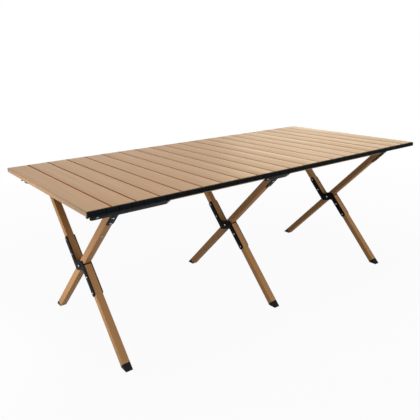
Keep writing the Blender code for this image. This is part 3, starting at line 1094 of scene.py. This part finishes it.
def plate_blank(name, corners, plates):
    """A stamped plate in the XY plane from corners of (x, y, radius), centred on Z 0."""
    deselect()
    bpy.ops.mesh.primitive_circle_add(vertices=len(corners), radius=0.1, fill_type="NGON")
    plate = bpy.context.object
    plate.name = name
    enter(plate, "VERT")
    mesh = bmesh.from_edit_mesh(plate.data)
    mesh.verts.ensure_lookup_table()
    starts = [vert.co.copy() for vert in mesh.verts]
    loop = [vert.index for vert in mesh.faces[:][0].verts]
    for (x, y, _), index in zip(corners, loop):
        choose(plate, "VERT", lambda vert: vert.index == index)
        shift(*(Vector((x, y, 0.0)) - starts[index]))
    turn_outwards()
    shift(z=-plates.thickness / 2)
    push(z=plates.thickness)
    turn_outwards()
    for x, y, radius in corners:
        choose(plate, "EDGE", lambda edge: along(edge, 2) and at(edge, x=x, y=y))
        round_off(radius, 6)
    choose(plate, "EDGE", lambda edge: near(abs(middle(edge).z), plates.thickness / 2, 1e-6))
    round_off(plates.rim, 2)
    leave()
    tidy_mesh(plate)
    smooth(plate)
    return plate


class CAMPTABLE_OT_cross_plates(bpy.types.Operator):
    """Stamp the bent plates that join both halves of each split leg"""

    bl_idname = "camptable.cross_plates"
    bl_label = "Cross plates"

    def execute(self, context):
        plates = context.scene.camp_plates
        low, high = SPLIT_OFFSET - HALF_TUBE, SPLIT_OFFSET + HALF_TUBE
        arm = [
            (CROSS_REACH, high, 0.0065),
            (CROSS_REACH, low, 0.0065),
            (0.0205, low, 0.005),
            (-0.0005, -high, 0.006),
        ]
        outline = arm + [(-x, -y, radius) for x, y, radius in arm]
        reach = HALF_TUBE + GAP + plates.thickness / 2
        lay = Matrix(((0, 0, -1, 0), (0, 1, 0, 0), (1, 0, 0, 0), (0, 0, 0, 1)))
        copies = [
            (
                f"{side}_cross_{label}",
                leg_matrix("split", x + sign * reach) @ lay,
                SPLIT_BODY,
                [f"{side}_cross_plate_{label}"],
            )
            for label, x in FRAME_X.items()
            for side, sign in (("outer", -1), ("inner", 1))
        ]
        shape = plate_blank("cross_plate", outline, plates)
        spread(shape, copies, finish_named("plate_powder_coat"))
        return {"FINISHED"}


class CAMPTABLE_OT_gussets(bpy.types.Operator):
    """Stamp the plates that fasten the legs to the rails"""

    bl_idname = "camptable.gussets"
    bl_label = "Gussets"

    tab_corner = 0.008
    arm_corner = 0.0105
    small_corner = 0.003
    neck_corner = 0.007

    def outline(self, kind, outer, inner):
        """Corners of a gusset, X along the table and Y up the leg."""
        low, high, tab = gusset_span(kind)
        half = HALF_TUBE
        corners = [(-half, tab, self.tab_corner), (half, tab, self.tab_corner)]
        if inner <= half:
            return corners + [(half, high, self.small_corner), (-half, high, self.small_corner)]
        return corners + [
            (half, low, self.small_corner),
            (inner, low, self.arm_corner),
            (inner, high, self.arm_corner),
            (-outer, high, self.arm_corner),
            (-outer, low, self.arm_corner),
            (-half, low, self.neck_corner),
        ]

    def execute(self, context):
        plates = context.scene.camp_plates
        coat = finish_named("plate_powder_coat")
        lay = Matrix(((1, 0, 0, 0), (0, 0, -1, 0), (0, 1, 0, 0), (0, 0, 0, 1)))
        stand = HALF_TUBE + GAP + plates.thickness / 2
        for side, kind, out in RAIL_SIDES:
            for label, x in FRAME_X.items():
                outline = self.outline(kind, *GUSSET_REACH[label])
                plate = plate_blank(f"{side}_rail_plate_{label}", outline, plates)
                place(plate, leg_matrix(kind, x, HEAD_OFFSET[kind] + out * stand) @ lay)
                dress(plate, LEG_BODY[kind], coat, [f"{side}_gusset_{label}"])
        return {"FINISHED"}


# Rivets and pins


def rivet_head(name, radius, height):
    """A domed rivet head that stands on Z 0, with the small pit of its drawn pin."""
    head = start_disc(name, 24, radius, 0.0, height)
    enter(head, "EDGE")
    choose(head, "EDGE", lambda edge: at(edge, z=height))
    round_off(height * 0.75, 4)
    choose(head, "FACE", lambda face: face.normal.z > 0.99 and at(face, z=height))
    inset(radius * 0.30)
    inset(radius * 0.06, -height * 0.35)
    leave()
    smooth(head, 50.0)
    return head


class CAMPTABLE_OT_rivets(bpy.types.Operator):
    """Set the rivets of the plates and the one on the left leg"""

    bl_idname = "camptable.rivets"
    bl_label = "Rivets"

    head_height = 0.0018
    tab_spots = (0.0095, 0.0355)
    leg_spot = 0.191

    def copies(self, stand):
        """Name, placement and body of every rivet head, on faces that stand off the legs' middle."""
        found = []
        for label, x in FRAME_X.items():
            for side, sign in (("outer", -1), ("inner", 1)):
                base = leg_matrix("split", x + sign * stand)
                for number, (up, offset) in enumerate(CROSS_RIVETS):
                    matrix = base @ moved(y=offset * SPLIT_OFFSET, z=up) @ about("Y", sign * 90.0)
                    found.append((f"{side}_cross_rivet_{label}_{number + 1}", matrix, SPLIT_BODY, ()))
        for end, kind, out in RAIL_SIDES:
            low, high, tab = gusset_span(kind)
            for label, x in FRAME_X.items():
                base = leg_matrix(kind, x, HEAD_OFFSET[kind] + out * stand)
                spots = [(0.0, tab + up) for up in self.tab_spots]
                spots += [(arm, (low + high) / 2) for arm in ARM_RIVETS[label]]
                if label == "right":
                    spots.append((0.0, (low + high) / 2 + 0.002))
                for number, (arm, up) in enumerate(spots):
                    matrix = base @ moved(x=arm, z=up) @ about("X", -out * 90.0)
                    found.append((f"{end}_rail_rivet_{label}_{number + 1}", matrix, LEG_BODY[kind], ()))
        base = leg_matrix("through", FRAME_X["left"], -HALF_TUBE)
        matrix = base @ moved(z=self.leg_spot) @ about("X", 90.0)
        return found + [("near_leg_rivet_left", matrix, LEG_BODY["through"], ())]

    def execute(self, context):
        plates = context.scene.camp_plates
        copies = self.copies(HALF_TUBE + GAP + plates.thickness)
        shape = rivet_head("rivet", plates.head, self.head_height)
        spread(shape, copies, finish_named("rivet_steel"))
        return {"FINISHED"}


class CAMPTABLE_OT_pivot_pins(bpy.types.Operator):
    """Turn the pins on which the crossed legs fold"""

    bl_idname = "camptable.pivot_pins"
    bl_label = "Pivot pins"

    plate_face = HALF_TUBE + GAP + PLATE + GAP
    washer_radius = 0.0055
    washer_bore = 0.0031
    shank_radius = 0.003
    head_radius = 0.0036
    head_height = 0.0024

    def washer(self):
        """The black washer under a pin head, which lies on a cross plate's face square to Z."""
        washer = start_disc("washer", 32, self.washer_radius, self.plate_face, WASHER)
        enter(washer, "FACE")
        choose(washer, "FACE", lambda face: abs(face.normal.z) > 0.99)
        inset(self.washer_radius - self.washer_bore)
        bpy.ops.mesh.bridge_edge_loops()
        choose(
            washer,
            "EDGE",
            lambda edge: at(edge, z=self.plate_face + WASHER) and middle(edge).xy.length > 0.005,
        )
        round_off(0.0003, 2)
        leave()
        smooth(washer)
        return washer

    def pin(self):
        """A pin along Z with a head at each end, over the washers."""
        inner = self.plate_face + WASHER + 0.0001
        half = inner + 0.0004
        head = rivet_head("pin_head", self.head_radius, self.head_height - WASHER)
        tail = copy_of(head, "pin_tail")
        place(head, moved(z=inner))
        place(tail, about("X", 180.0) @ moved(z=inner))
        pin = start_disc("pin", 24, self.shank_radius, -half, 2 * half)
        fuse(pin, [head, tail])
        tidy_mesh(pin)
        smooth(pin, 50.0)
        return pin

    def execute(self, context):
        body = LEG_BODY["through"]
        at_pivot = {
            label: Matrix.Translation(PIVOT + Vector((x, 0.0, 0.0))) for label, x in FRAME_X.items()
        }
        pins = [
            (f"cross_pin_{label}", spot @ about("Y", 90.0), body, [f"pivot_pin_{label}"])
            for label, spot in at_pivot.items()
        ]
        spread(self.pin(), pins, finish_named("rivet_steel"))
        rings = [
            (f"{side}_washer_{label}", spot @ about("Y", sign * 90.0), body, ())
            for label, spot in at_pivot.items()
            for side, sign in (("outer", -1), ("inner", 1))
        ]
        spread(self.washer(), rings, finish_named("plate_powder_coat"))
        return {"FINISHED"}


# Stage


class CAMPTABLE_OT_stage(bpy.types.Operator):
    """Lay the floor, hang the lamps and set up the camera"""

    bl_idname = "camptable.stage"
    bl_label = "Stage"

    def world(self, fill):
        """Even white surroundings, dimmer for light that bounces off matt surfaces."""
        world = bpy.data.worlds.new("studio")
        bpy.context.scene.world = world
        world.use_nodes = True
        tree = world.node_tree
        shown = tree.nodes["Background"]
        feed(tree, shown.inputs["Color"], WHITE)
        feed(tree, shown.inputs["Strength"], 1.0)
        lit = add_node(tree, "ShaderNodeBackground", {"Color": WHITE, "Strength": fill})
        path = add_node(tree, "ShaderNodeLightPath").outputs
        seen = combined(tree, "MAXIMUM", path["Is Camera Ray"], path["Is Glossy Ray"])
        seen = combined(tree, "MAXIMUM", seen, path["Is Transmission Ray"])
        both = {0: seen, 1: lit.outputs[0], 2: shown.outputs[0]}
        mix = add_node(tree, "ShaderNodeMixShader", both)
        feed(tree, tree.nodes["World Output"].inputs["Surface"], mix.outputs[0])

    def floor(self, shade):
        """A wide pale floor, white to the camera, with a soft shadow that fades out round the table."""
        deselect()
        bpy.ops.mesh.primitive_plane_add(size=40.0, location=(0.0, 0.0, -0.0006))
        floor = bpy.context.object
        floor.name = "floor"
        material, tree = new_finish("pale_floor")
        material.cycles.emission_sampling = "NONE"
        set_shader(tree, {"Base Color": shade, "Roughness": 0.9, "Specular IOR Level": 0.1})
        glow = add_node(tree, "ShaderNodeEmission", {"Color": WHITE, "Strength": 1.0})
        path = add_node(tree, "ShaderNodeLightPath").outputs
        seen = combined(tree, "MAXIMUM", path["Is Camera Ray"], path["Is Glossy Ray"])
        away = add_node(tree, "ShaderNodeVectorMath", {0: spot_on(tree)}, operation="LENGTH")
        white = levels(tree, away.outputs["Value"], 0.8, 2.2, 0.945, 1.0)
        share = combined(tree, "MULTIPLY", seen, white)
        both = {0: share, 1: tree.nodes["Principled BSDF"].outputs[0], 2: glow.outputs[0]}
        mix = add_node(tree, "ShaderNodeMixShader", both)
        feed(tree, tree.nodes["Material Output"].inputs["Surface"], mix.outputs[0])
        floor.data.materials.append(material)

    def lamp(self, name, place_at, aim, size, lamp_power, tint):
        """A large soft lamp."""
        data = bpy.data.lights.new(name, "AREA")
        data.color = tint
        data.shape = "DISK"
        data.size = size
        data.energy = lamp_power
        lamp = bpy.data.objects.new(name, data)
        bpy.context.scene.collection.objects.link(lamp)
        lamp.location = place_at
        lamp.rotation_euler = (Vector(aim) - Vector(place_at)).to_track_quat("-Z", "Y").to_euler()

    def camera(self):
        """The camera, where the picture was taken from."""
        data = bpy.data.cameras.new("camera")
        data.sensor_width = SENSOR
        data.lens = FOCAL / PICTURE * SENSOR
        data.shift_x = (PICTURE / 2 - AXIS[0]) / PICTURE
        data.shift_y = (AXIS[1] - PICTURE / 2) / PICTURE
        azimuth, elevation, roll = (math.radians(angle) for angle in CAMERA_TURN)
        level = math.cos(elevation)
        ahead = Vector((level * math.sin(azimuth), level * math.cos(azimuth), math.sin(elevation)))
        right = Vector((math.cos(azimuth), -math.sin(azimuth), 0.0))
        down = ahead.cross(right)
        turned_right = right * math.cos(roll) - down * math.sin(roll)
        turned_down = right * math.sin(roll) + down * math.cos(roll)
        turn = Matrix((turned_right, -turned_down, -ahead)).transposed().to_4x4()
        camera = bpy.data.objects.new("camera", data)
        bpy.context.scene.collection.objects.link(camera)
        camera.matrix_world = Matrix.Translation(CAMERA_AT) @ turn
        bpy.context.scene.camera = camera

    def execute(self, context):
        stage = context.scene.camp_stage
        context.scene.view_settings.view_transform = "Standard"
        self.world(stage.fill)
        self.floor(stage.floor)
        for name, place_at, aim, size, tint in LAMPS:
            self.lamp(f"{name}_lamp", place_at, aim, size, getattr(stage, name), tint)
        self.camera()
        return {"FINISHED"}


# Panel and registration


OPERATORS = (
    CAMPTABLE_OT_stage,
    CAMPTABLE_OT_slats,
    CAMPTABLE_OT_end_caps,
    CAMPTABLE_OT_legs,
    CAMPTABLE_OT_rails,
    CAMPTABLE_OT_feet,
    CAMPTABLE_OT_cross_plates,
    CAMPTABLE_OT_gussets,
    CAMPTABLE_OT_rivets,
    CAMPTABLE_OT_pivot_pins,
)


class CAMPTABLE_PT_panel(bpy.types.Panel):
    """Lists the table's settings and building steps"""

    bl_idname = "CAMPTABLE_PT_panel"
    bl_label = "Camp Table"
    bl_space_type = "VIEW_3D"
    bl_region_type = "UI"
    bl_category = "Camp Table"

    def draw(self, context):
        layout = self.layout
        for title, group in (
            ("Slats", context.scene.camp_slats),
            ("Legs", context.scene.camp_legs),
            ("Plates", context.scene.camp_plates),
            ("Stage", context.scene.camp_stage),
        ):
            box = layout.box()
            box.label(text=title)
            for key in group.__annotations__:
                box.prop(group, key)
        for operator in OPERATORS:
            layout.operator(operator.bl_idname)


SETTINGS = {
    "camp_slats": SlatSettings,
    "camp_legs": LegSettings,
    "camp_plates": PlateSettings,
    "camp_stage": StageSettings,
}
CLASSES = (*SETTINGS.values(), *OPERATORS, CAMPTABLE_PT_panel)


def register():
    """Register the settings, the building steps and the panel."""
    for each in CLASSES:
        bpy.utils.register_class(each)
    for name, group in SETTINGS.items():
        setattr(bpy.types.Scene, name, PointerProperty(type=group))


def unregister():
    """Take everything out again."""
    for name in SETTINGS:
        delattr(bpy.types.Scene, name)
    for each in reversed(CLASSES):
        bpy.utils.unregister_class(each)


def main():
    """Build the dressed table."""
    register()
    bpy.ops.camptable.stage()
    bpy.ops.camptable.slats()
    bpy.ops.camptable.end_caps()
    bpy.ops.camptable.legs()
    bpy.ops.camptable.rails()
    bpy.ops.camptable.feet()
    bpy.ops.camptable.cross_plates()
    bpy.ops.camptable.gussets()
    bpy.ops.camptable.rivets()
    bpy.ops.camptable.pivot_pins()


if __name__ == "__main__":
    main()
